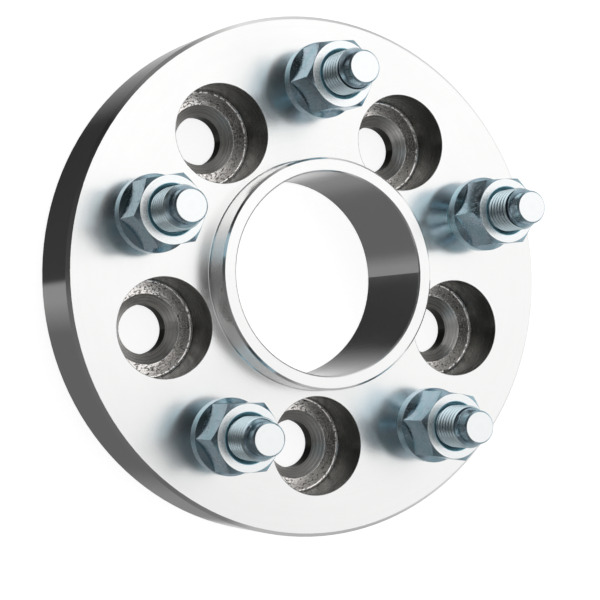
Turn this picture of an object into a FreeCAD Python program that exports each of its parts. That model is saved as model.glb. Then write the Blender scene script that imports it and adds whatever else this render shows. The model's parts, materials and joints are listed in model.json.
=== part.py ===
import FreeCAD, Part

import math
import os

# Hub-centric wheel spacer with pressed wheel studs and bulge nuts.
# Millimetres, +Z up. Origin: centre of the hub bore on the back face, which bolts to the hub.
# The studs point up and the first stud stands on +Y.

# Disc and hub ring, turned as one piece
DISC_DIAMETER = 150.0
DISC_THICKNESS = 22.0
DISC_EDGE_CHAMFER = 1.0
HUB_BORE_DIAMETER = 58.1
BORE_MOUTH_CHAMFER = 0.4
RING_DIAMETER = 66.2
RING_HEIGHT = 9.5
RING_EDGE_CHAMFER = 0.6
RING_ROOT_RADIUS = 0.4

# Pockets for the bolts that hold the spacer to the hub
BOLT_COUNT = 5
BOLT_CIRCLE_DIAMETER = 98.0
FIRST_BOLT_ANGLE = 124.5
POCKET_DIAMETER = 28.4
POCKET_FLOOR_HEIGHT = 7.3
POCKET_CORNER_RADIUS = 0.7
SEAT_MOUTH_DIAMETER = 20.2
SEAT_ANGLE = 90.0
BOLT_HOLE_DIAMETER = 14.2

# Wheel studs
STUD_COUNT = 5
STUD_CIRCLE_DIAMETER = 110.0
FIRST_STUD_ANGLE = 90.0
THREAD_DIAMETER = 12.0
STUD_REACH = 34.3
DOG_DIAMETER = 9.4
DOG_LENGTH = 4.0
DOG_CHAMFER = 0.45
KNURL_DIAMETER = 13.2
KNURL_TOOTH_DEPTH = 0.4
KNURL_TEETH = 30
KNURL_LENGTH = 9.0
KNURL_LEAD = 0.5
HEAD_DIAMETER = 18.0
HEAD_THICKNESS = 4.2
HEAD_CHAMFER = 0.6
HEAD_RECESS = 0.6
HEAD_POCKET_DIAMETER = 19.2

# Bulge nuts: seat cone, round bulge, hexagon
NUT_HEIGHT = 21.4
NUT_ACROSS_FLATS = 18.6
NUT_SEAT_HEIGHT = 6.0
NUT_SEAT_ANGLE = 60.0
BULGE_DIAMETER = 21.6
BULGE_LIP = 0.4
BULGE_HEIGHT = 3.2
BULGE_BEVEL_ANGLE = 45.0
HEX_END_DIAMETER = 18.5
HEX_END_CHAMFER_ANGLE = 40.0
SINK_DIAMETER = 14.0
SINK_ANGLE = 100.0
NUT_TURNS = (5.5, 8.7, 0.2, -10.5, 2.9)

# Clearances on radius
THREAD_CLEARANCE = 0.06
STUD_HOLE_CLEARANCE = 0.2
KNURL_CLEARANCE = 0.02

# Overlap that lets one shape cut or join another cleanly
CUT_MARGIN = 1.0

AXIS = FreeCAD.Vector(0, 0, 1)
CENTRE = FreeCAD.Vector(0, 0, 0)


def polar(radius, angle):
    """Vector at a radius and an angle in degrees."""
    turn = math.radians(angle)
    return FreeCAD.Vector(radius * math.cos(turn), radius * math.sin(turn), 0)


def half_plane(radius, height):
    """Point of a turned outline."""
    return FreeCAD.Vector(radius, 0, height)


def turned(*outline):
    """Solid of revolution about Z from (radius, height) points in order."""
    corners = [half_plane(*point) for point in outline]
    return turned_edges([Part.LineSegment(a, b).toShape() for a, b in zip(corners, corners[1:] + corners[:1])])


def turned_edges(edges):
    """Solid of revolution about Z from the edges of a closed outline."""
    face = Part.Face(Part.Wire(Part.__sortEdges__(edges)))
    return face.revolve(CENTRE, AXIS, 360)


def corner_arc(centre_radius, centre_height, radius, start, end):
    """Round stretch of a turned outline, between two angles in degrees."""
    places = []
    for angle in (start, (start + end) / 2, end):
        turn = math.radians(angle)
        places.append(half_plane(centre_radius + radius * math.cos(turn), centre_height + radius * math.sin(turn)))
    return Part.Arc(*places).toShape()


def run(*outline):
    """Straight stretches of a turned outline, left open."""
    corners = [half_plane(*point) for point in outline]
    return [Part.LineSegment(a, b).toShape() for a, b in zip(corners, corners[1:])]


def cone_rise(radial_step, full_angle):
    """Height over which a cone of that full angle changes radius by radial_step."""
    return radial_step / math.tan(math.radians(full_angle / 2))


def bolt_angles():
    return [FIRST_BOLT_ANGLE + 360.0 / BOLT_COUNT * index for index in range(BOLT_COUNT)]


def stud_angles():
    return [FIRST_STUD_ANGLE + 360.0 / STUD_COUNT * index for index in range(STUD_COUNT)]


def disc_with_ring():
    """The turned blank: disc, hub bore and the hub ring on the front face."""
    bore = HUB_BORE_DIAMETER / 2
    rim = DISC_DIAMETER / 2
    ring = RING_DIAMETER / 2
    top = DISC_THICKNESS + RING_HEIGHT
    root = RING_ROOT_RADIUS
    edges = run((ring + root, DISC_THICKNESS),
                (rim - DISC_EDGE_CHAMFER, DISC_THICKNESS),
                (rim, DISC_THICKNESS - DISC_EDGE_CHAMFER),
                (rim, DISC_EDGE_CHAMFER),
                (rim - DISC_EDGE_CHAMFER, 0),
                (bore + BORE_MOUTH_CHAMFER, 0),
                (bore, BORE_MOUTH_CHAMFER),
                (bore, top - BORE_MOUTH_CHAMFER),
                (bore + BORE_MOUTH_CHAMFER, top),
                (ring - RING_EDGE_CHAMFER, top),
                (ring, top - RING_EDGE_CHAMFER),
                (ring, DISC_THICKNESS + root))
    edges.append(corner_arc(ring + root, DISC_THICKNESS + root, root, 180, 270))
    return turned_edges(edges)


def bolt_pocket():
    """Cutter for one pocket: counterbore, flat shoulder, seat cone and through hole."""
    hole = BOLT_HOLE_DIAMETER / 2
    seat = SEAT_MOUTH_DIAMETER / 2
    pocket = POCKET_DIAMETER / 2
    floor = POCKET_FLOOR_HEIGHT
    corner = POCKET_CORNER_RADIUS
    land = floor - cone_rise(seat - hole, SEAT_ANGLE)
    top = DISC_THICKNESS + CUT_MARGIN
    edges = run((pocket, floor + corner), (pocket, top), (0, top), (0, -CUT_MARGIN), (hole, -CUT_MARGIN),
                (hole, land), (seat, floor), (pocket - corner, floor))
    edges.append(corner_arc(pocket - corner, floor + corner, corner, -90, 0))
    return turned_edges(edges)


def head_top():
    """Height of the shoulder that the head of a stud is pulled against."""
    return HEAD_RECESS + HEAD_THICKNESS


def stud_hole():
    """Cutter for one stud: pocket for the head, knurl bore and clearance hole."""
    head = HEAD_POCKET_DIAMETER / 2
    knurl = KNURL_DIAMETER / 2
    shank = THREAD_DIAMETER / 2 + STUD_HOLE_CLEARANCE
    knurl_end = head_top() + KNURL_LENGTH
    return turned((0, -CUT_MARGIN), (head, -CUT_MARGIN), (head, head_top()), (knurl, head_top()),
                  (knurl, knurl_end), (shank, knurl_end), (shank, DISC_THICKNESS + CUT_MARGIN),
                  (0, DISC_THICKNESS + CUT_MARGIN))


def spacer_body():
    body = disc_with_ring()
    cutters = []
    for angle in bolt_angles():
        cutters.append(bolt_pocket().translate(polar(BOLT_CIRCLE_DIAMETER / 2, angle)))
    for angle in stud_angles():
        cutters.append(stud_hole().translate(polar(STUD_CIRCLE_DIAMETER / 2, angle)))
    return body.cut(cutters)


def knurl():
    """Serrated collar under the head, with a tapered lead at its front end."""
    tip = KNURL_DIAMETER / 2 - KNURL_CLEARANCE
    root = tip - KNURL_TOOTH_DEPTH
    step = 180.0 / KNURL_TEETH
    corners = [polar(tip if index % 2 == 0 else root, step * index) for index in range(2 * KNURL_TEETH)]
    base = Part.Face(Part.makePolygon(corners + corners[:1]))
    prism = base.extrude(AXIS * KNURL_LENGTH)
    end = KNURL_LENGTH
    envelope = turned((0, 0), (tip, 0), (tip, end - KNURL_LEAD), (tip - KNURL_LEAD, end), (0, end))
    return prism.common(envelope).translate(AXIS * head_top())


def stud():
    """Press-in wheel stud standing on its head, with an unthreaded dog point."""
    head = HEAD_DIAMETER / 2
    thread = THREAD_DIAMETER / 2
    dog = DOG_DIAMETER / 2
    tip = DISC_THICKNESS + STUD_REACH
    thread_end = tip - DOG_LENGTH
    shape = turned((0, HEAD_RECESS),
                   (head - HEAD_CHAMFER, HEAD_RECESS),
                   (head, HEAD_RECESS + HEAD_CHAMFER),
                   (head, head_top()),
                   (thread, head_top()),
                   (thread, thread_end - (thread - dog)),
                   (dog, thread_end),
                   (dog, tip - DOG_CHAMFER),
                   (dog - DOG_CHAMFER, tip),
                   (0, tip))
    return shape.fuse(knurl()).removeSplitter()


def hexagon(across_flats, bottom, top):
    """Hexagonal prism with two corners on the X axis."""
    corners = [polar(across_flats / math.sqrt(3), 60 * index) for index in range(6)]
    base = Part.Face(Part.makePolygon(corners + corners[:1]))
    return base.extrude(AXIS * (top - bottom)).translate(AXIS * bottom)


def nut():
    """Bulge nut standing on the small end of its seat cone at height zero."""
    bore = THREAD_DIAMETER / 2 + THREAD_CLEARANCE
    bulge = BULGE_DIAMETER / 2
    seat_top = bulge - BULGE_LIP
    seat_bottom = seat_top - NUT_SEAT_HEIGHT * math.tan(math.radians(NUT_SEAT_ANGLE / 2))
    bulge_bottom = NUT_SEAT_HEIGHT + BULGE_LIP
    bulge_top = bulge_bottom + BULGE_HEIGHT
    inner = bore + THREAD_CLEARANCE
    bevel_top = bulge_top + (bulge - inner) * math.tan(math.radians(BULGE_BEVEL_ANGLE))
    bulge_shape = turned((0, 0), (seat_bottom, 0), (seat_top, NUT_SEAT_HEIGHT), (bulge, bulge_bottom),
                         (bulge, bulge_top), (inner, bevel_top), (0, bevel_top))
    corner = NUT_ACROSS_FLATS / math.sqrt(3) + CUT_MARGIN
    end = HEX_END_DIAMETER / 2
    chamfer_bottom = NUT_HEIGHT - (corner - end) * math.tan(math.radians(HEX_END_CHAMFER_ANGLE))
    end_shape = turned((0, 0), (corner, 0), (corner, chamfer_bottom), (end, NUT_HEIGHT), (0, NUT_HEIGHT))
    hex_shape = hexagon(NUT_ACROSS_FLATS, bulge_bottom, NUT_HEIGHT).common(end_shape)
    sink = SINK_DIAMETER / 2
    sink_bottom = NUT_HEIGHT - cone_rise(sink - bore, SINK_ANGLE)
    hole = turned((0, -CUT_MARGIN), (bore, -CUT_MARGIN), (bore, sink_bottom), (sink, NUT_HEIGHT),
                  (sink, NUT_HEIGHT + CUT_MARGIN), (0, NUT_HEIGHT + CUT_MARGIN))
    return bulge_shape.fuse(hex_shape).removeSplitter().cut(hole)


def placed(shape, angle, turn, height):
    """Copy of a shape turned about Z, then stood on the stud circle."""
    copy = shape.copy()
    copy.rotate(CENTRE, AXIS, turn)
    copy.translate(polar(STUD_CIRCLE_DIAMETER / 2, angle) + AXIS * height)
    return copy


def pieces():
    """Every sub-part by name."""
    found = {"spacer_body": spacer_body()}
    one_stud = stud()
    one_nut = nut()
    for index, angle in enumerate(stud_angles()):
        found["wheel_stud_%d" % (index + 1)] = placed(one_stud, angle, angle, 0)
        turn = NUT_TURNS[index % len(NUT_TURNS)]
        found["wheel_nut_%d" % (index + 1)] = placed(one_nut, angle, turn, DISC_THICKNESS)
    return found


def main():
    os.makedirs("parts", exist_ok=True)
    for name, shape in pieces().items():
        solid = shape.Solids[0] if len(shape.Solids) == 1 else shape
        if not solid.isValid():
            raise ValueError("%s is not a valid solid" % name)
        solid.exportStep("parts/%s.step" % name)
        print("%s volume %.1f area %.1f solids %d" % (name, solid.Volume, solid.Area, len(shape.Solids)))


main()
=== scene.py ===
import json
import math

import bmesh
import bpy
from bpy.props import (
    FloatProperty,
    FloatVectorProperty,
    IntProperty,
    PointerProperty,
)
from mathutils import Matrix, Vector


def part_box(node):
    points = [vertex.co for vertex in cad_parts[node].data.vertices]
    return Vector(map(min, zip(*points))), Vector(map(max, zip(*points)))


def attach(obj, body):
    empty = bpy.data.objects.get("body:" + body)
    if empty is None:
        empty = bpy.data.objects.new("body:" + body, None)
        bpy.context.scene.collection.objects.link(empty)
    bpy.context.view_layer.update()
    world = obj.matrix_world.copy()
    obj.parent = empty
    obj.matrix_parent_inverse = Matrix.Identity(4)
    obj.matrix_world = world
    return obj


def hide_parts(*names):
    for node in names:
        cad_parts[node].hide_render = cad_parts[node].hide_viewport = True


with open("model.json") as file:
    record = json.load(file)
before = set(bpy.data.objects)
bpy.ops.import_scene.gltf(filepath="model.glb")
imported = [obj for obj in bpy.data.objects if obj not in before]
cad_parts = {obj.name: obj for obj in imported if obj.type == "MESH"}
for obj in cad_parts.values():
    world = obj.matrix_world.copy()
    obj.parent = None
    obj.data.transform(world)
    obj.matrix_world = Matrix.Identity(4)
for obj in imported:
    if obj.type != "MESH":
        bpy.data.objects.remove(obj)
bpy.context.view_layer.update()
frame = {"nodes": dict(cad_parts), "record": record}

# Finish and stage of a hub-centric wheel spacer: turned disc, pressed wheel studs, bulge nuts.
# Metres, +Z up. The part lies on its back face with the studs up.

bl_info = {
    "name": "Wheel Spacer Finish",
    "version": (1, 0, 0),
    "blender": (4, 5, 0),
    "location": "View3D > Sidebar > Spacer",
    "description": "Finishes a wheel spacer: turned aluminium body, threaded studs, zinc plated nuts, stage",
    "category": "Object",
}

MILLIMETRE = 0.001
FULL_TURN = 2 * math.pi
BODY = "spacer_body"
STUDS = sorted(name for name in frame["nodes"] if name.startswith("wheel_stud_"))
NUTS = sorted(name for name in frame["nodes"] if name.startswith("wheel_nut_"))
MOUNTS = {mount["name"]: mount for mount in frame["record"]["mounts"]}
BOLT_CIRCLE = MOUNTS["hub_bolt_holes"]["dims"]["pcd_mm"] * MILLIMETRE / 2
STUD_CIRCLE = MOUNTS["stud_points"]["dims"]["pcd_mm"] * MILLIMETRE / 2
DOG_RADIUS = MOUNTS["stud_points"]["dims"]["stud_r_mm"] * MILLIMETRE
WHITE = (1.0, 1.0, 1.0, 1.0)


class SpacerBodyFinish(bpy.types.PropertyGroup):
    """Sizes and colours of the turned body's finish."""

    colour: FloatVectorProperty(
        name="Aluminium", description="Colour of the turned faces", subtype="COLOR", size=3,
        min=0, max=1, default=(0.955, 0.955, 0.95))
    # Dark colour of the pocket walls: painted shade of the recess, not the aluminium's own tone.
    pocket_shade_colour: FloatVectorProperty(
        name="Pocket Wall", description="Colour of the dull wall of the bolt pockets", subtype="COLOR",
        size=3, min=0, max=1, default=(0.125, 0.127, 0.114))
    shoulder_colour: FloatVectorProperty(
        name="Pocket Shoulder", description="Colour of the torn, coarse-cut shoulder in the pockets",
        subtype="COLOR", size=3, min=0, max=1, default=(1.0, 0.96, 0.93))
    seat_colour: FloatVectorProperty(
        name="Bolt Seat", description="Colour of the conical seat of the bolt head", subtype="COLOR",
        size=3, min=0, max=1, default=(0.99, 0.965, 0.94))
    first_bolt_angle: FloatProperty(
        name="First Bolt", description="Angle of the first bolt pocket round the hub bore", subtype="ANGLE",
        default=math.radians(124.5))
    bolt_count: IntProperty(
        name="Bolts", description="Number of bolt pockets", min=1,
        default=MOUNTS["hub_bolt_holes"]["dims"]["count"])
    pocket_radius: FloatProperty(
        name="Pocket Radius", description="Radius of the counterbored pocket", unit="LENGTH", precision=5,
        default=0.0142)
    pocket_corner: FloatProperty(
        name="Pocket Corner", description="Radius of the corner between wall and shoulder", unit="LENGTH",
        precision=5, default=0.0007)
    shoulder_height: FloatProperty(
        name="Shoulder", description="Height of the flat shoulder in the pocket", unit="LENGTH", precision=5,
        default=0.0073)
    seat_depth: FloatProperty(
        name="Seat Depth", description="Depth of the conical seat under the shoulder", unit="LENGTH",
        precision=5, default=0.0030)
    feed: FloatProperty(
        name="Feed", description="Spacing of the turning marks", unit="LENGTH", precision=6, default=0.00018)
    edge_radius: FloatProperty(
        name="Edge", description="Radius that rounds the sharp edges in the shading", unit="LENGTH",
        precision=6, default=0.00014)


class FastenerFinish(bpy.types.PropertyGroup):
    """Sizes and colours of the studs and nuts."""

    zinc: FloatVectorProperty(
        name="Zinc", description="Colour of the blue-clear plating on the sides", subtype="COLOR", size=3,
        min=0, max=1, default=(0.315, 0.54, 0.615))
    zinc_bloom: FloatVectorProperty(
        name="Bloom", description="Second colour of the plating, where it is thicker", subtype="COLOR",
        size=3, min=0, max=1, default=(0.50, 0.60, 0.70))
    # Near-white tone of the faces that look up, a painted sheen.
    zinc_end_sheen: FloatVectorProperty(
        name="End Faces", description="Colour of the thin plating on the end faces and tips", subtype="COLOR",
        size=3, min=0, max=1, default=(0.965, 0.985, 0.99))
    zinc_hollow: FloatVectorProperty(
        name="Countersinks", description="Colour of the thick plating in the nuts' countersinks",
        subtype="COLOR", size=3, min=0, max=1, default=(0.36, 0.66, 0.76))
    # Dark tone of the thread roots: oil, with painted shade in the grooves.
    thread_root_oil_and_shade: FloatVectorProperty(
        name="Thread Roots", description="Dark colour of the oiled thread roots", subtype="COLOR", size=3,
        min=0, max=1, default=(0.03, 0.045, 0.055))
    # Pale tone of the thread crests, a painted highlight.
    crest_highlight_colour: FloatVectorProperty(
        name="Thread Crests", description="Colour of the thin plating on the thread's crests",
        subtype="COLOR", size=3, min=0, max=1, default=(0.68, 0.82, 0.87))
    sink_radius: FloatProperty(
        name="Countersink", description="Radius of the nuts' countersink", unit="LENGTH", precision=5,
        default=0.0070)
    thread_radius: FloatProperty(
        name="Thread Radius", description="Radius over the thread's crests", unit="LENGTH", precision=5,
        default=0.0060)
    pitch: FloatProperty(
        name="Pitch", description="Distance between two crests of the thread", unit="LENGTH", precision=5,
        default=0.0015)
    dog_length: FloatProperty(
        name="Dog Point", description="Length of the plain point beyond the thread", unit="LENGTH",
        precision=5, default=0.0040)
    dog_chamfer: FloatProperty(
        name="Point Chamfer", description="Chamfer at the tip", unit="LENGTH", precision=5, default=0.00045)
    head_thickness: FloatProperty(
        name="Head", description="Thickness of the round head", unit="LENGTH", precision=5, default=0.0042)
    head_chamfer: FloatProperty(
        name="Head Chamfer", description="Chamfer under the head", unit="LENGTH", precision=5, default=0.0006)
    knurl_radius: FloatProperty(
        name="Knurl Radius", description="Radius over the teeth that grip the body", unit="LENGTH",
        precision=5, default=0.00658)
    knurl_depth: FloatProperty(
        name="Tooth Depth", description="Depth of the knurl's teeth", unit="LENGTH", precision=5,
        default=0.0004)
    knurl_length: FloatProperty(
        name="Knurl Length", description="Length of the knurled collar", unit="LENGTH", precision=5,
        default=0.0090)
    knurl_lead: FloatProperty(
        name="Knurl Lead", description="Taper at the front of the collar", unit="LENGTH", precision=5,
        default=0.0005)
    knurl_teeth: IntProperty(
        name="Teeth", description="Number of teeth round the collar", min=3, default=30)
    edge_radius: FloatProperty(
        name="Edge", description="Radius that rounds the nuts' edges in the shading", unit="LENGTH",
        precision=6, default=0.00014)


class StageSettings(bpy.types.PropertyGroup):
    """Floor, studio room and camera."""

    floor_colour: FloatVectorProperty(
        name="Floor", description="Colour of the floor under the part", subtype="COLOR", size=3,
        min=0, max=1, default=(0.50, 0.50, 0.50))
    floor_glow: FloatProperty(
        name="Floor White", description="White that the floor shows the camera beside its own light",
        min=0, max=1, default=0.84)
    floor_size: FloatProperty(
        name="Floor Size", description="Length of a side of the floor", unit="LENGTH", default=6.0)
    focal_length: FloatProperty(
        name="Lens", description="Focal length for a 36 mm wide sensor, in millimetres", default=107.48)


# Node helpers

# The Mix node repeats its sockets' names for each data type, so these are their numbers.
MIX_COLOURS_IN = (6, 7)
MIX_COLOURS_OUT = 2
MIX_VALUES_IN = (2, 3)
MIX_VALUES_OUT = 0
EDGE_SAMPLES = 6


def new_node(tree, kind, **settings):
    """Adds a node and sets its own properties."""
    node = tree.nodes.new(kind)
    for key, value in settings.items():
        setattr(node, key, value)
    return node


def feed(tree, socket, source):
    """Links a socket to another node's output, or sets its plain value."""
    if isinstance(source, bpy.types.NodeSocket):
        tree.links.new(source, socket)
    else:
        socket.default_value = source


def math_node(tree, operation, *inputs, clamp=False):
    node = new_node(tree, "ShaderNodeMath", operation=operation, use_clamp=clamp)
    for socket, source in zip(node.inputs, inputs):
        feed(tree, socket, source)
    return node.outputs[0]


def product(tree, first, second):
    return math_node(tree, "MULTIPLY", first, second)


def total(tree, first, second):
    return math_node(tree, "ADD", first, second)


def step(tree, value, low, high):
    """Smooth step of a value, from 0 at low to 1 at high."""
    node = new_node(tree, "ShaderNodeMapRange", interpolation_type="SMOOTHSTEP")
    for name, source in (("Value", value), ("From Min", low), ("From Max", high)):
        feed(tree, node.inputs[name], source)
    return node.outputs["Result"]


def fade(tree, value, base, offsets):
    """Smooth step between two offsets from a base."""
    start, end = offsets
    return step(tree, value, base + start, base + end)


def mix(tree, data_type, inputs, output, factor, *sources):
    node = new_node(tree, "ShaderNodeMix", data_type=data_type)
    feed(tree, node.inputs["Factor"], factor)
    for number, source in zip(inputs, sources):
        feed(tree, node.inputs[number], source)
    return node.outputs[output]


def mix_colours(tree, factor, first, second):
    return mix(tree, "RGBA", MIX_COLOURS_IN, MIX_COLOURS_OUT, factor, first, second)


def mix_values(tree, factor, first, second):
    return mix(tree, "FLOAT", MIX_VALUES_IN, MIX_VALUES_OUT, factor, first, second)


def noise(tree, vector, scale, detail=2.0, roughness=0.5):
    node = new_node(tree, "ShaderNodeTexNoise")
    for name, source in (("Vector", vector), ("Scale", scale), ("Detail", detail), ("Roughness", roughness)):
        feed(tree, node.inputs[name], source)
    return node.outputs["Fac"]


def split(tree, vector):
    node = new_node(tree, "ShaderNodeSeparateXYZ")
    feed(tree, node.inputs[0], vector)
    return node.outputs[0], node.outputs[1], node.outputs[2]


def join(tree, x, y, z):
    node = new_node(tree, "ShaderNodeCombineXYZ")
    for socket, source in zip(node.inputs, (x, y, z)):
        feed(tree, socket, source)
    return node.outputs[0]


def colour(values, factor=1.0):
    """Four numbers for a colour socket, with the colour times a factor."""
    return (*(value * factor for value in values), 1.0)


def new_group(name, inputs, outputs):
    """Shader node group with named sockets. Each input is (name, kind, default)."""
    group = bpy.data.node_groups.new(name, "ShaderNodeTree")
    for socket_name, kind, default in inputs:
        socket = group.interface.new_socket(name=socket_name, in_out="INPUT", socket_type=kind)
        if default is not None:
            socket.default_value = default
    for socket_name, kind in outputs:
        group.interface.new_socket(name=socket_name, in_out="OUTPUT", socket_type=kind)
    entry = group.nodes.new("NodeGroupInput")
    leave = group.nodes.new("NodeGroupOutput")
    return group, entry.outputs, leave.inputs


def place_group(tree, group, **values):
    """Puts a group into a material. Underscores in the names stand for spaces."""
    node = new_node(tree, "ShaderNodeGroup", node_tree=group)
    for name, source in values.items():
        feed(tree, node.inputs[name.replace("_", " ").title()], source)
    return node.outputs


FLOAT = "NodeSocketFloat"
VECTOR = "NodeSocketVector"


# Shared effects

def length_of(tree, first, second):
    """Square root of the sum of two squares."""
    return math_node(tree, "SQRT", total(tree, product(tree, first, first), product(tree, second, second)))


def round_place_group():
    """Radius and angle of a point round the nearest of several like axes on a circle."""
    group, given, out = new_group(
        "place_round_axes",
        [("Position", VECTOR, None), ("Circle", FLOAT, 0.0), ("First Angle", FLOAT, 0.0),
         ("Step", FLOAT, FULL_TURN)],
        [("Radius", FLOAT), ("Angle", FLOAT)])
    x, y = split(group, given["Position"])[:2]
    turned = math_node(group, "SUBTRACT", math_node(group, "ARCTAN2", y, x), given["First Angle"])
    half = product(group, given["Step"], 0.5)
    wrapped = math_node(group, "FLOORED_MODULO", total(group, turned, half), given["Step"])
    local = math_node(group, "SUBTRACT", wrapped, half)
    reach = length_of(group, x, y)
    along = math_node(group, "SUBTRACT", product(group, reach, math_node(group, "COSINE", local)),
                      given["Circle"])
    across = product(group, reach, math_node(group, "SINE", local))
    feed(group, out["Radius"], length_of(group, along, across))
    feed(group, out["Angle"], math_node(group, "ARCTAN2", across, along))
    return group


LINE_DRIFT = 0.35
BAND_SCALE = 0.12


def turning_marks_group():
    """Fine lines round an axis, as a tool leaves them: concentric on a face, rings on a wall."""
    group, given, out = new_group(
        "turning_marks",
        [("Radius", FLOAT, 0.0), ("Height", FLOAT, 0.0), ("Angle", FLOAT, 0.0), ("Feed", FLOAT, 0.0002)],
        [("Fine", FLOAT), ("Bands", FLOAT)])
    lines = math_node(group, "DIVIDE", given["Radius"], given["Feed"])
    rings = math_node(group, "DIVIDE", given["Height"], given["Feed"])
    drift = product(group, math_node(group, "SINE", given["Angle"]), LINE_DRIFT)
    place = join(group, lines, rings, drift)
    feed(group, out["Fine"], noise(group, place, 1.0, detail=3.0, roughness=0.6))
    feed(group, out["Bands"], noise(group, place, BAND_SCALE))
    return group


def handling_group():
    """Soft cloudy patches, as wiping and handling leave on bare metal."""
    group, given, out = new_group(
        "handling",
        [("Position", VECTOR, None), ("Size", FLOAT, 0.02), ("Contrast", FLOAT, 0.5)],
        [("Mask", FLOAT)])
    scale = math_node(group, "DIVIDE", 1.0, given["Size"])
    cloud = noise(group, given["Position"], scale, detail=4.0, roughness=0.55)
    half = product(group, math_node(group, "SUBTRACT", 1.0, given["Contrast"]), 0.5)
    low = math_node(group, "SUBTRACT", 0.5, half)
    feed(group, out["Mask"], step(group, cloud, low, total(group, 0.5, half)))
    return group


# Cosines of the angle between the flat and the rounded normal where an edge's mask starts and is full.
EDGE_START = 0.995
EDGE_FULL = 0.90


def edge_group():
    """Mask that is one where the rounded normal leaves the flat one, on the edges, where materials paint
    highlight and shade.
    """
    group, given, out = new_group(
        "worn_edges",
        [("Rounded Normal", VECTOR, None), ("Strength", FLOAT, 1.0)],
        [("Mask", FLOAT)])
    geometry = new_node(group, "ShaderNodeNewGeometry")
    dot = new_node(group, "ShaderNodeVectorMath", operation="DOT_PRODUCT")
    feed(group, dot.inputs[0], given["Rounded Normal"])
    feed(group, dot.inputs[1], geometry.outputs["Normal"])
    mask = step(group, dot.outputs["Value"], EDGE_START, EDGE_FULL)
    feed(group, out["Mask"], math_node(group, "MULTIPLY", mask, given["Strength"], clamp=True))
    return group


# Noise above which a pit starts when none are asked for, how far the full amount lowers it, and how much
# more noise gives a full pit.
PIT_START = 0.72
PIT_RANGE = 0.25
PIT_SLOPE = 0.12


def pitting_group():
    """Small pits and torn grains of a coarse cut."""
    group, given, out = new_group(
        "pitting",
        [("Position", VECTOR, None), ("Size", FLOAT, 0.0008), ("Amount", FLOAT, 0.5)],
        [("Mask", FLOAT), ("Height", FLOAT)])
    scale = math_node(group, "DIVIDE", 1.0, given["Size"])
    grains = noise(group, given["Position"], scale, detail=5.0, roughness=0.7)
    threshold = math_node(group, "SUBTRACT", PIT_START, product(group, given["Amount"], PIT_RANGE))
    pits = step(group, grains, threshold, total(group, threshold, PIT_SLOPE))
    feed(group, out["Mask"], pits)
    feed(group, out["Height"], math_node(group, "SUBTRACT", grains, pits))
    return group


def shared_effects():
    """The node groups, built once."""
    if "turning_marks" not in bpy.data.node_groups:
        round_place_group()
        turning_marks_group()
        handling_group()
        edge_group()
        pitting_group()
    return bpy.data.node_groups


def new_material(name):
    """Empty metal material: its tree, its Principled shader, and a place to read positions."""
    material = bpy.data.materials.new(name)
    material.use_nodes = True
    tree = material.node_tree
    shader = tree.nodes["Principled BSDF"]
    shader.inputs["Metallic"].default_value = 1.0
    position = new_node(tree, "ShaderNodeTexCoord").outputs["Object"]
    return material, tree, shader, position


def rounded_edges(tree, radius):
    """Normal that rounds the sharp edges."""
    node = new_node(tree, "ShaderNodeBevel", samples=EDGE_SAMPLES)
    node.inputs["Radius"].default_value = radius
    return node.outputs["Normal"]


def surface_height(tree):
    """Upward part of the surface's own normal: 1 on faces that look up."""
    return split(tree, new_node(tree, "ShaderNodeNewGeometry").outputs["Normal"])[2]


def bump(tree, height, depth, normal):
    node = new_node(tree, "ShaderNodeBump")
    node.inputs["Distance"].default_value = depth
    feed(tree, node.inputs["Height"], height)
    feed(tree, node.inputs["Normal"], normal)
    return node.outputs["Normal"]


# Turned body: metres past a pocket's radius, and then heights over its shoulder, between which its
# finishes fade into each other.
POCKET_RIM = (0.0001, 0.00006)
SHOULDER_END = (0.0004, 0.0001)
SHOULDER_START = (-0.0002, -0.00005)
SEAT_START = (-0.00005, -0.0002)
CORNER_START = (0.0001, 0.0003)
CORNER_END = 0.0005
HOLE_START = (0.0001, -0.0001)
# Radii in metres between which the disc's rim starts, and normals between which a face looks up.
RIM_START = (0.0738, 0.0745)
FACE_UP = (0.9, 0.99)
# How much coarser the pocket cutter's feed is, and how much narrower than long its torn grains are.
POCKET_FEED = 2.2
TORN_STRETCH = 2.0
# Strength of a pattern, and tone of what it darkens as a share of the plain colour.
BODY_BANDS = 0.35
BODY_BAND_TONE = 0.93
WALL_BAND_TONE = 0.5
PIT_STRENGTH = 0.9
PIT_COLOUR = (0.045, 0.038, 0.035)
SEAT_LINES = (0.42, 0.60)
SEAT_LINE_TONE = 0.72
# Share of the dark pocket colour in the bolt holes, a painted shade.
HOLE_SHADE = 0.9
# Share of white on the corner at the foot of the pocket wall, a painted highlight line.
CORNER_HIGHLIGHT = 0.8
# How much paler the edges are, a painted highlight.
EDGE_HIGHLIGHT = 0.06
# Roughness of the clean and the smudged body and of the rim, what the front face and the fine lines add,
# and roughness of the pockets' parts.
BODY_ROUGH = (0.15, 0.20)
RIM_ROUGH = 0.07
FACE_ROUGH = 0.04
LINES_ROUGH = 0.04
WALL_ROUGH = (0.22, 0.34)
SHOULDER_ROUGH = (0.18, 0.40)
SEAT_ROUGH = 0.36
# How metallic the dull parts of a pocket are.
WALL_METALLIC = 0.85
SHOULDER_METALLIC = 0.95
# Stretch of the highlights across the turning marks, and its direction as a share of a turn.
BRUSHED = 0.55
BRUSHED_TURN = 0.25
# Depth of the relief in metres, and its parts: lines outside, on the wall and on the seat, and torn grains.
BODY_RELIEF = 0.000012
BODY_LINES = 0.25
WALL_LINES = 1.6
SEAT_RINGS = 6.5
TORN_RELIEF = 2.0


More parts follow.
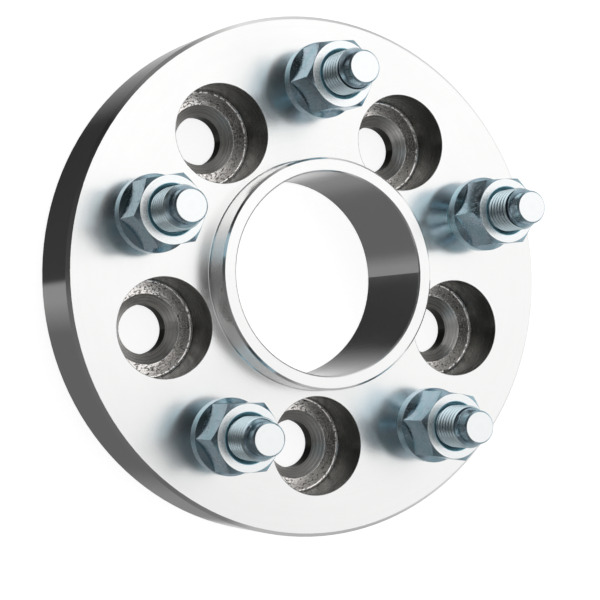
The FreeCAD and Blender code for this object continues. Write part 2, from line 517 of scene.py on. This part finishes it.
def turned_aluminium(settings):
    """Bare aluminium: fine-turned outside, rough-bored and duller in the bolt pockets, with painted shade on
    the pocket walls and in the bolt holes, and painted highlights on the edges and at the foot of each pocket
    wall.
    """
    groups = shared_effects()
    material, tree, shader, position = new_material("turned_aluminium_finish")
    height = split(tree, position)[2]
    main = place_group(tree, groups["place_round_axes"], position=position)
    pocket = place_group(tree, groups["place_round_axes"], position=position, circle=BOLT_CIRCLE,
                         first_angle=settings.first_bolt_angle, step=FULL_TURN / settings.bolt_count)
    body_marks = place_group(tree, groups["turning_marks"], radius=main["Radius"], height=height,
                             angle=main["Angle"], feed=settings.feed)
    pocket_marks = place_group(tree, groups["turning_marks"], radius=pocket["Radius"], height=height,
                               angle=pocket["Angle"], feed=settings.feed * POCKET_FEED)
    smudges = place_group(tree, groups["handling"], position=position, size=0.03, contrast=0.55)
    torn_place = join(tree, product(tree, pocket["Radius"], TORN_STRETCH),
                      product(tree, pocket["Angle"], settings.pocket_radius), height)
    pits = place_group(tree, groups["pitting"], position=torn_place, size=0.0010, amount=0.86)
    rounded = rounded_edges(tree, settings.edge_radius)
    edges = place_group(tree, groups["worn_edges"], rounded_normal=rounded, strength=1.0)

    shoulder = settings.shoulder_height
    in_pocket = fade(tree, pocket["Radius"], settings.pocket_radius, POCKET_RIM)
    on_shoulder = product(tree, fade(tree, height, shoulder, SHOULDER_END),
                          fade(tree, height, shoulder, SHOULDER_START))
    on_corner = product(tree, fade(tree, height, shoulder, CORNER_START),
                        fade(tree, height, shoulder, (settings.pocket_corner, CORNER_END)))
    in_seat = fade(tree, height, shoulder, SEAT_START)
    in_hole = fade(tree, height, shoulder - settings.seat_depth, HOLE_START)
    on_face = step(tree, surface_height(tree), *FACE_UP)
    on_rim = math_node(tree, "SUBTRACT", step(tree, main["Radius"], *RIM_START), on_face, clamp=True)

    body_tone = mix_colours(tree, product(tree, body_marks["Bands"], BODY_BANDS), colour(settings.colour),
                            colour(settings.colour, BODY_BAND_TONE))
    # Painted shade: the pocket walls take the dark pocket colour.
    wall_tone = mix_colours(tree, pocket_marks["Bands"], colour(settings.pocket_shade_colour),
                            colour(settings.pocket_shade_colour, WALL_BAND_TONE))
    shoulder_tone = mix_colours(tree, product(tree, pits["Mask"], PIT_STRENGTH),
                                colour(settings.shoulder_colour), colour(PIT_COLOUR))
    seat_tone = mix_colours(tree, step(tree, pocket_marks["Fine"], *SEAT_LINES),
                            colour(settings.seat_colour), colour(settings.seat_colour, SEAT_LINE_TONE))
    bore_tone = mix_colours(tree, on_shoulder, wall_tone, shoulder_tone)
    bore_tone = mix_colours(tree, in_seat, bore_tone, seat_tone)
    # Painted shade: the bolt hole's wall below the seat is darkened.
    bore_tone = mix_colours(tree, in_hole, bore_tone, colour(settings.pocket_shade_colour, HOLE_SHADE))
    # Painted highlight: the corner between wall and shoulder is painted toward white.
    bore_tone = mix_colours(tree, product(tree, on_corner, CORNER_HIGHLIGHT), bore_tone, WHITE)
    tone = mix_colours(tree, in_pocket, body_tone, bore_tone)
    # Painted highlight: the rounded edges get a paler tone.
    edge_highlight_tone = colour(tuple(min(1.0, value + EDGE_HIGHLIGHT) for value in settings.colour))
    feed(tree, shader.inputs["Base Color"], mix_colours(tree, edges["Mask"], tone, edge_highlight_tone))

    body_rough = mix_values(tree, smudges["Mask"], *BODY_ROUGH)
    body_rough = total(tree, body_rough, product(tree, on_face, FACE_ROUGH))
    body_rough = mix_values(tree, on_rim, body_rough, RIM_ROUGH)
    body_rough = total(tree, body_rough, product(tree, body_marks["Fine"], LINES_ROUGH))
    bore_rough = mix_values(tree, pocket_marks["Bands"], *WALL_ROUGH)
    bore_rough = mix_values(tree, on_shoulder, bore_rough, mix_values(tree, pits["Mask"], *SHOULDER_ROUGH))
    bore_rough = mix_values(tree, in_seat, bore_rough, SEAT_ROUGH)
    feed(tree, shader.inputs["Roughness"], mix_values(tree, in_pocket, body_rough, bore_rough))

    dull = mix_values(tree, on_shoulder, WALL_METALLIC, SHOULDER_METALLIC)
    dull = mix_values(tree, in_seat, dull, 1.0)
    feed(tree, shader.inputs["Metallic"], mix_values(tree, in_pocket, 1.0, dull))

    shader.inputs["Anisotropic"].default_value = BRUSHED
    shader.inputs["Anisotropic Rotation"].default_value = BRUSHED_TURN
    tangent = new_node(tree, "ShaderNodeTangent", direction_type="RADIAL", axis="Z")
    feed(tree, shader.inputs["Tangent"], tangent.outputs[0])

    pocket_lines = product(tree, pocket_marks["Fine"], mix_values(tree, in_seat, WALL_LINES, SEAT_RINGS))
    lines = mix_values(tree, in_pocket, product(tree, body_marks["Fine"], BODY_LINES), pocket_lines)
    torn_part = math_node(tree, "SUBTRACT", product(tree, in_pocket, on_shoulder), on_corner, clamp=True)
    torn = product(tree, product(tree, pits["Height"], torn_part), TORN_RELIEF)
    feed(tree, shader.inputs["Normal"], bump(tree, total(tree, lines, torn), BODY_RELIEF, rounded))
    return material


# Plating: spacing of the cut marks and size of the clouds and grains, in metres, and how slowly the grains
# change along the axis, which draws them out.
CUT_FEED = 0.00016
CLOUD_SIZE = 0.004
GRAIN_SIZE = 0.00045
GRAIN_STRETCH = 0.25
# Metres from a hollow's radius and top and from the crests' radius between which each finish fades, and the
# normals between which a face is an end face.
HOLLOW_EDGE = (0.0001, 0.0)
HOLLOW_TOP = (0.0001, -0.0001)
CREST_START = (-0.0007, -0.0003)
END_UP = (0.93, 0.99)
# Strength of a pattern, and tone of what it darkens as a share of the plain colour.
GRAIN_STRENGTH = 0.45
GRAIN_TONE = 0.45
# Share of the pale crest tone, a painted highlight.
CREST_HIGHLIGHT = 0.9
# Tone of the painted shade on the edges.
EDGE_SHADE_TONE = 0.2
END_BANDS = 0.5
END_BAND_TONE = 0.86
# Roughness that clouds, grains and cut marks add, and roughness of hollows and end faces.
CLOUD_ROUGH = 0.07
GRAIN_ROUGH = 0.12
CUT_ROUGH = 0.06
HOLLOW_ROUGH = 0.5
END_ROUGH = 0.22
PLATING_RELIEF = 0.000010
# Crest radius in metres that no part of a nut reaches, for plating without the painted crest highlight.
NO_CREST = 1.0


def zinc_plating(name, settings, circle, cut_marks, roughness, grain, hollow, crest_radius, edge_shade):
    """Blue-clear zinc plate on steel: faces that look up are painted near white, a painted sheen; crests get
    a pale tone, a painted highlight; edges a dark one, painted shade; and hollows are of another colour,
    which in thread roots is oil with painted shade.

    A hollow is (colour, radius, top): what lies nearer the axis than the radius and lower than the top.
    """
    groups = shared_effects()
    material, tree, shader, position = new_material(name)
    x, y, height = split(tree, position)
    around = place_group(tree, groups["place_round_axes"], position=position, circle=circle,
                         first_angle=math.pi / 2, step=FULL_TURN / (len(STUDS) if circle else 1))
    marks = place_group(tree, groups["turning_marks"], radius=around["Radius"], height=height,
                        angle=around["Angle"], feed=CUT_FEED)
    clouds = place_group(tree, groups["handling"], position=position, size=CLOUD_SIZE, contrast=0.30)
    drawn = join(tree, x, y, product(tree, height, GRAIN_STRETCH))
    grains = place_group(tree, groups["pitting"], position=drawn, size=GRAIN_SIZE, amount=grain)
    rounded = rounded_edges(tree, settings.edge_radius)
    edges = place_group(tree, groups["worn_edges"], rounded_normal=rounded, strength=edge_shade)
    hollow_colour, hollow_radius, hollow_top = hollow
    in_hollow = product(tree, fade(tree, around["Radius"], hollow_radius, HOLLOW_EDGE),
                        fade(tree, height, hollow_top, HOLLOW_TOP))
    is_end = product(tree, step(tree, surface_height(tree), *END_UP),
                     math_node(tree, "SUBTRACT", 1.0, in_hollow))
    crest_highlight = fade(tree, around["Radius"], crest_radius, CREST_START)

    tone = mix_colours(tree, clouds["Mask"], colour(settings.zinc), colour(settings.zinc_bloom))
    tone = mix_colours(tree, product(tree, grains["Mask"], GRAIN_STRENGTH), tone,
                       colour(settings.zinc, GRAIN_TONE))
    # Painted highlight: the thread crests get a pale tone.
    tone = mix_colours(tree, product(tree, crest_highlight, CREST_HIGHLIGHT), tone, colour(settings.crest_highlight_colour))
    tone = mix_colours(tree, in_hollow, tone, colour(hollow_colour))
    # Painted shade: the edges are darkened to a dark zinc tone.
    tone = mix_colours(tree, edges["Mask"], tone, colour(settings.zinc, EDGE_SHADE_TONE))
    # Painted sheen: faces that look up get a near-white tone.
    ends = mix_colours(tree, product(tree, marks["Bands"], END_BANDS), colour(settings.zinc_end_sheen),
                       colour(settings.zinc_end_sheen, END_BAND_TONE))
    feed(tree, shader.inputs["Base Color"], mix_colours(tree, is_end, tone, ends))

    rough = mix_values(tree, clouds["Mask"], roughness, roughness + CLOUD_ROUGH)
    rough = total(tree, rough, product(tree, grains["Mask"], GRAIN_ROUGH))
    rough = mix_values(tree, in_hollow, rough, HOLLOW_ROUGH)
    rough = mix_values(tree, is_end, rough, END_ROUGH)
    feed(tree, shader.inputs["Roughness"], total(tree, rough, product(tree, marks["Fine"], CUT_ROUGH)))
    relief = total(tree, product(tree, marks["Fine"], cut_marks), product(tree, grains["Height"], grain))
    feed(tree, shader.inputs["Normal"], bump(tree, relief, PLATING_RELIEF, rounded))
    return material


# Threaded stud

# Columns of faces round the thread, and turns that are made beyond each of its ends and cut off.
COLUMNS = 120
SPARE_TURNS = 2
# Depth of a metric thread and softness of its root and crest, as shares of the pitch and of the depth.
THREAD_DEPTH = 0.6134
THREAD_SOFTNESS = 0.04
# Radius that the end's cone gains a metre, and how fast and how near the end the groove runs out, in pitches.
END_SLOPE = 1.3
RUN_OUT_SPEED = 3
RUN_OUT_START = 0.6
# Metres from the thread's ends to the dog point and to the plain shank.
DOG_START = 0.0001
SHANK_START = 0.0003
CUT_TOLERANCE = 1e-7
LOOP_TOLERANCE = 1e-6
SHARP_ANGLE = math.radians(32)


class StudSizes:
    """Heights and radii of one stud, from its box in the frame and the settings."""

    def __init__(self, node, settings):
        low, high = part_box(node)
        self.centre = Vector(((low.x + high.x) / 2, (low.y + high.y) / 2, 0))
        self.bottom = low.z
        self.tip = high.z
        self.head_radius = (high.x - low.x) / 2
        self.head_top = low.z + settings.head_thickness
        self.knurl_top = self.head_top + settings.knurl_length
        self.thread_top = high.z - settings.dog_length
        self.thread_bottom = self.knurl_top + settings.pitch
        self.thread_radius = settings.thread_radius
        self.root_radius = settings.thread_radius - settings.pitch * THREAD_DEPTH
        self.shank_radius = (self.thread_radius + self.root_radius) / 2


def thread_rows(sizes):
    """One pitch of a metric thread: share of the pitch and radius, with rounded root and crest."""
    crest = sizes.thread_radius
    root = sizes.root_radius
    soft = (crest - root) * THREAD_SOFTNESS
    return ((0.0, crest), (1 / 16, crest - soft), (3 / 8, root + soft), (1 / 2, root),
            (5 / 8, root + soft), (15 / 16, crest - soft))


def end_cone(sizes, height):
    """Radius that the chamfer at the thread's end leaves at a height."""
    return max(DOG_RADIUS, DOG_RADIUS + (sizes.thread_top - height) * END_SLOPE)


def helix_surface(shape, sizes, pitch):
    """Right-hand thread as a sheet whose rows follow the helix, a little too long at both ends."""
    profile = thread_rows(sizes)
    turns = int((sizes.thread_top - sizes.thread_bottom) / pitch) + 2 * SPARE_TURNS
    start = sizes.thread_bottom - SPARE_TURNS * pitch
    crest = sizes.thread_radius
    rows = []
    for turn in range(turns):
        for share, radius in profile:
            row = []
            for column in range(COLUMNS):
                angle = FULL_TURN * column / COLUMNS
                height = start + pitch * (turn + share + column / COLUMNS)
                depth = RUN_OUT_SPEED * (sizes.thread_top - height) / pitch - RUN_OUT_START
                groove = (radius - crest) * min(1.0, max(0.0, depth))
                reach = min(crest + groove, end_cone(sizes, height))
                row.append(shape.verts.new((reach * math.cos(angle), reach * math.sin(angle), height)))
            rows.append(row)
    lift = len(profile)
    for index in range(len(rows) - lift - 1):
        for column in range(COLUMNS):
            last = column == COLUMNS - 1
            right = rows[index + lift][0] if last else rows[index][column + 1]
            right_above = rows[index + lift + 1][0] if last else rows[index + 1][column + 1]
            shape.faces.new((rows[index][column], right, right_above, rows[index + 1][column]))


def trim(shape, height, direction):
    """Cuts the sheet at a height and returns its new edge loop."""
    geometry = shape.verts[:] + shape.edges[:] + shape.faces[:]
    bmesh.ops.bisect_plane(shape, geom=geometry, dist=CUT_TOLERANCE, plane_co=(0, 0, height),
                           plane_no=(0, 0, direction), clear_outer=True)
    return [edge for edge in shape.edges
            if edge.is_boundary and all(abs(vert.co.z - height) < LOOP_TOLERANCE for vert in edge.verts)]


def grow(shape, loop, height, radius_at):
    """Extrudes an edge loop to a height, with the radius that each angle has there."""
    made = bmesh.ops.extrude_edge_only(shape, edges=loop)["geom"]
    for vert in (item for item in made if isinstance(item, bmesh.types.BMVert)):
        angle = math.atan2(vert.co.y, vert.co.x)
        radius = radius_at(angle)
        vert.co = (radius * math.cos(angle), radius * math.sin(angle), height)
    return [item for item in made if isinstance(item, bmesh.types.BMEdge) and item.is_boundary]


def toothed(tip, depth, teeth):
    """Radius of a toothed collar at an angle, with straight flanks."""
    root = tip - depth
    half = math.pi / teeth

    def radius_at(angle):
        share = (angle / half) % 2
        flank = share if share <= 1 else 2 - share
        reach = flank * half
        start = Vector((tip, 0))
        end = Vector((root * math.cos(half), root * math.sin(half)))
        side = end - start
        ray = Vector((math.cos(reach), math.sin(reach)))
        return (start.x * side.y - start.y * side.x) / (ray.x * side.y - ray.y * side.x)

    return radius_at


def corner_numbers(item):
    """Numbers of the corners of an edge or face, the same whichever corner comes first."""
    return sorted(vert.index for vert in item.verts)


def settle_order(shape):
    """Puts vertices, edges and faces in a set order, as cutting leaves them in another one each run."""
    for items, key in ((shape.verts, lambda vert: vert.co[:]), (shape.edges, corner_numbers),
                       (shape.faces, corner_numbers)):
        for index, item in enumerate(sorted(items, key=key)):
            item.index = index
        items.sort()
        items.index_update()


def stud_mesh(sizes, settings):
    """Press-in stud: head, knurled collar, shank, helical thread and dog point, as one closed skin."""
    shape = bmesh.new()
    helix_surface(shape, sizes, settings.pitch)
    loop = trim(shape, sizes.thread_top + DOG_START, 1)
    outline = [
        (sizes.tip - settings.dog_chamfer, DOG_RADIUS),
        (sizes.tip, DOG_RADIUS - settings.dog_chamfer),
    ]
    for height, radius in outline:
        loop = grow(shape, loop, height, lambda angle, radius=radius: radius)
    bmesh.ops.edgeloop_fill(shape, edges=loop)

    loop = trim(shape, sizes.thread_bottom, -1)
    teeth = toothed(settings.knurl_radius, settings.knurl_depth, settings.knurl_teeth)
    lead = settings.knurl_radius - settings.knurl_lead
    outline = [
        (sizes.thread_bottom - SHANK_START, lambda angle: sizes.shank_radius),
        (sizes.knurl_top, lambda angle: sizes.shank_radius),
        (sizes.knurl_top, lambda angle: min(lead, teeth(angle))),
        (sizes.knurl_top - settings.knurl_lead, teeth),
        (sizes.head_top, teeth),
        (sizes.head_top, lambda angle: sizes.head_radius),
        (sizes.bottom + settings.head_chamfer, lambda angle: sizes.head_radius),
        (sizes.bottom, lambda angle: sizes.head_radius - settings.head_chamfer),
    ]
    for height, radius_at in outline:
        loop = grow(shape, loop, height, radius_at)
    bmesh.ops.edgeloop_fill(shape, edges=loop)
    bmesh.ops.recalc_face_normals(shape, faces=shape.faces[:])
    settle_order(shape)
    mesh = bpy.data.meshes.new("threaded_stud")
    shape.to_mesh(mesh)
    shape.free()
    mesh.shade_smooth()
    mesh.set_sharp_from_angle(angle=SHARP_ANGLE)
    return mesh


# Metres by which the countersinks' plating colour and the thread roots' oil and painted shade reach past the
# countersink, above the nut, past the thread's root, and the share of a pitch by which it stops short of the
# thread's end.
SINK_MARGIN = 0.00015
ABOVE_NUT = 0.0002
ROOT_MARGIN = 0.00035
ROOT_END = 0.7


class SPACER_OT_turned_body(bpy.types.Operator):
    """Gives the turned body its bare aluminium finish"""

    bl_idname = "spacer.turned_body"
    bl_label = "Finish Turned Body"

    def execute(self, context):
        body = frame["nodes"][BODY]
        body.data.materials.clear()
        body.data.materials.append(turned_aluminium(context.scene.spacer_body))
        return {"FINISHED"}


class SPACER_OT_wheel_nuts(bpy.types.Operator):
    """Gives the bulge nuts their zinc plating"""

    bl_idname = "spacer.wheel_nuts"
    bl_label = "Finish Wheel Nuts"

    def execute(self, context):
        settings = context.scene.spacer_fasteners
        nut_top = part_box(NUTS[0])[1].z
        hollow = (settings.zinc_hollow, settings.sink_radius + SINK_MARGIN, nut_top + ABOVE_NUT)
        # The nuts' edges get painted shade.
        plating = zinc_plating("nut_plating", settings, circle=STUD_CIRCLE, cut_marks=0.35, roughness=0.10,
                               grain=0.76, hollow=hollow, crest_radius=NO_CREST, edge_shade=0.9)
        for name in NUTS:
            nut = frame["nodes"][name]
            nut.data.materials.clear()
            nut.data.materials.append(plating)
        return {"FINISHED"}


class SPACER_OT_wheel_studs(bpy.types.Operator):
    """Builds the press-in studs with their real threads"""

    bl_idname = "spacer.wheel_studs"
    bl_label = "Build Threaded Studs"

    def execute(self, context):
        settings = context.scene.spacer_fasteners
        sizes = StudSizes(STUDS[0], settings)
        # The thread roots are darkened: oil, with painted shade in the grooves.
        hollow = (settings.thread_root_oil_and_shade, sizes.root_radius + ROOT_MARGIN,
                  sizes.thread_top - settings.pitch * ROOT_END)
        plating = zinc_plating("stud_plating", settings, circle=0.0, cut_marks=0.15, roughness=0.20,
                               grain=0.0, hollow=hollow, crest_radius=settings.thread_radius, edge_shade=0.0)
        mesh = stud_mesh(sizes, settings)
        mesh.materials.append(plating)
        for name in STUDS:
            centre = StudSizes(name, settings).centre
            stud = bpy.data.objects.new("threaded_" + name.replace("wheel_", ""), mesh)
            context.scene.collection.objects.link(stud)
            stud.location = centre
            stud.rotation_euler = (0, 0, math.atan2(centre.y, centre.x))
            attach(stud, "root")
            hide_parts(name)
        return {"FINISHED"}


# Stage

# Brightness of the room round the part, in rings of (degrees round the bore from the right, brightness).
# The ring below is what the upright walls mirror, the level one what the bevels mirror, the slope what the
# threads mirror, and the one above what the walls mirror by way of the front face.
ROOM_BELOW = ((0, 1.0), (20, 0.90), (40, 0.48), (60, 0.24), (88, 0.03), (173, 0.04), (175, 0.26), (184, 0.26),
              (200, 0.12), (280, 0.12), (300, 0.24), (325, 0.24), (337, 0.70), (360, 1.0))
ROOM_LEVEL = ((0, 0.95), (25, 0.85), (50, 0.55), (80, 0.80), (96, 0.22), (110, 0.18), (127, 0.02),
              (175, 0.06), (184, 0.13), (250, 0.13), (270, 0.20), (278, 0.48), (310, 0.45), (335, 0.75),
              (360, 0.95))
ROOM_SLOPE = ((0, 0.96), (14, 1.08), (45, 1.08), (96, 1.15), (122, 1.0), (140, 0.5), (158, 0.14), (172, 0.06),
              (194, 0.08), (206, 0.85), (222, 0.80), (230, 0.22), (252, 0.36), (275, 0.60), (320, 0.85),
              (345, 0.90), (360, 0.96))
ROOM_ABOVE = ((0, 1.02), (12, 1.08), (45, 1.08), (112, 1.0), (128, 0.55), (146, 0.42), (161, 0.17),
              (174, 0.035), (190, 0.01), (204, 0.10), (218, 0.05), (232, 0.10), (246, 0.20), (266, 0.40),
              (285, 0.32), (304, 0.30), (340, 0.88), (360, 1.02))
# Heights of a direction between which each ring takes over from the one below it, and then the white ceiling.
ROOM_RINGS = ((-0.80, -0.35, ROOM_LEVEL), (0.50, 0.64, ROOM_SLOPE), (0.84, 0.88, ROOM_ABOVE))
CEILING = (0.96, 0.998)


def room_ring(tree, place, stops):
    """Brightness of one ring of the room at a share of a full turn."""
    node = new_node(tree, "ShaderNodeValToRGB")
    ramp = node.color_ramp
    for index, (degrees, brightness) in enumerate(stops):
        if index < len(ramp.elements):
            element = ramp.elements[index]
            element.position = degrees / 360
        else:
            element = ramp.elements.new(degrees / 360)
        element.color = colour((brightness,) * 3)
    feed(tree, node.inputs["Fac"], place)
    return node.outputs["Color"]


def studio_room(world):
    """World that metal mirrors: soft panels and dark gaps. The camera sees it plain white."""
    world.use_nodes = True
    tree = world.node_tree
    background = tree.nodes["Background"]
    direction = new_node(tree, "ShaderNodeTexCoord").outputs["Generated"]
    x, y, z = split(tree, direction)
    turn = math_node(tree, "DIVIDE", math_node(tree, "ARCTAN2", y, x), FULL_TURN)
    place = math_node(tree, "FLOORED_MODULO", turn, 1.0)
    room = room_ring(tree, place, ROOM_BELOW)
    for low, high, stops in ROOM_RINGS:
        room = mix_colours(tree, step(tree, z, low, high), room, room_ring(tree, place, stops))
    room = mix_colours(tree, step(tree, z, *CEILING), room, WHITE)
    seen = new_node(tree, "ShaderNodeLightPath").outputs["Is Camera Ray"]
    feed(tree, background.inputs["Color"], mix_colours(tree, seen, room, WHITE))
    background.inputs["Strength"].default_value = 1.0


def floor_material(settings):
    """White floor that keeps the part's shadow."""
    material = bpy.data.materials.new("studio_floor")
    material.use_nodes = True
    tree = material.node_tree
    tree.nodes.remove(tree.nodes["Principled BSDF"])
    output = tree.nodes["Material Output"]
    matt = new_node(tree, "ShaderNodeBsdfDiffuse")
    matt.inputs["Color"].default_value = colour(settings.floor_colour)
    glow = new_node(tree, "ShaderNodeEmission")
    seen = new_node(tree, "ShaderNodeLightPath").outputs["Is Camera Ray"]
    feed(tree, glow.inputs["Strength"], product(tree, seen, settings.floor_glow))
    both = new_node(tree, "ShaderNodeAddShader")
    feed(tree, both.inputs[0], matt.outputs[0])
    feed(tree, both.inputs[1], glow.outputs[0])
    feed(tree, output.inputs["Surface"], both.outputs[0])
    return material


# Camera as worked out from the photograph's outlines: place, view and upward direction.
CAMERA_PLACE = Vector((-0.2325, -0.02024, 0.48194))
CAMERA_VIEW = Vector((0.44297, 0.0257, -0.89617))
CAMERA_UP = Vector((0.01915, 0.99909, 0.03812))
SENSOR_WIDTH = 36
NEAREST_VIEW = 0.01
FLOOR_GAP = 0.00002


def photo_camera(scene, settings):
    """Camera at the photograph's angle and distance."""
    camera = bpy.data.objects.new("camera", bpy.data.cameras.new("camera"))
    scene.collection.objects.link(camera)
    back = -CAMERA_VIEW.normalized()
    right = CAMERA_UP.cross(back).normalized()
    up = back.cross(right)
    turn = Matrix((right, up, back)).transposed().to_4x4()
    camera.matrix_world = Matrix.Translation(CAMERA_PLACE) @ turn
    camera.data.sensor_width = SENSOR_WIDTH
    camera.data.lens = settings.focal_length
    camera.data.clip_start = NEAREST_VIEW
    scene.camera = camera


class SPACER_OT_stage(bpy.types.Operator):
    """Sets the floor, the studio room and the camera"""

    bl_idname = "spacer.stage"
    bl_label = "Set Stage"

    def execute(self, context):
        scene = context.scene
        settings = scene.spacer_stage
        half = settings.floor_size / 2
        mesh = bpy.data.meshes.new("floor")
        corners = [(-half, -half, 0), (half, -half, 0), (half, half, 0), (-half, half, 0)]
        mesh.from_pydata(corners, [], [(0, 1, 2, 3)])
        mesh.materials.append(floor_material(settings))
        floor = bpy.data.objects.new("floor", mesh)
        scene.collection.objects.link(floor)
        floor.location.z = -FLOOR_GAP
        floor.visible_glossy = False
        floor.visible_shadow = False
        scene.world = bpy.data.worlds.new("studio")
        studio_room(scene.world)
        photo_camera(scene, settings)
        scene.view_settings.view_transform = "Standard"
        return {"FINISHED"}


class SPACER_PT_panel(bpy.types.Panel):
    """Lists the steps that finish the spacer"""

    bl_idname = "SPACER_PT_panel"
    bl_label = "Wheel Spacer"
    bl_space_type = "VIEW_3D"
    bl_region_type = "UI"
    bl_category = "Spacer"

    def draw(self, context):
        for operator in OPERATORS:
            self.layout.operator(operator.bl_idname)
        scene = context.scene
        for settings in (scene.spacer_body, scene.spacer_fasteners, scene.spacer_stage):
            box = self.layout.box()
            for key in settings.__annotations__:
                box.prop(settings, key)


OPERATORS = (SPACER_OT_turned_body, SPACER_OT_wheel_nuts, SPACER_OT_wheel_studs, SPACER_OT_stage)
CLASSES = (SpacerBodyFinish, FastenerFinish, StageSettings, *OPERATORS, SPACER_PT_panel)


def register():
    for kind in CLASSES:
        bpy.utils.register_class(kind)
    bpy.types.Scene.spacer_body = PointerProperty(type=SpacerBodyFinish)
    bpy.types.Scene.spacer_fasteners = PointerProperty(type=FastenerFinish)
    bpy.types.Scene.spacer_stage = PointerProperty(type=StageSettings)


def unregister():
    del bpy.types.Scene.spacer_stage
    del bpy.types.Scene.spacer_fasteners
    del bpy.types.Scene.spacer_body
    for kind in reversed(CLASSES):
        bpy.utils.unregister_class(kind)


def main():
    register()
    bpy.ops.spacer.turned_body()
    bpy.ops.spacer.wheel_nuts()
    bpy.ops.spacer.wheel_studs()
    bpy.ops.spacer.stage()
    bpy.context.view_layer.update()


if __name__ == "__main__":
    main()
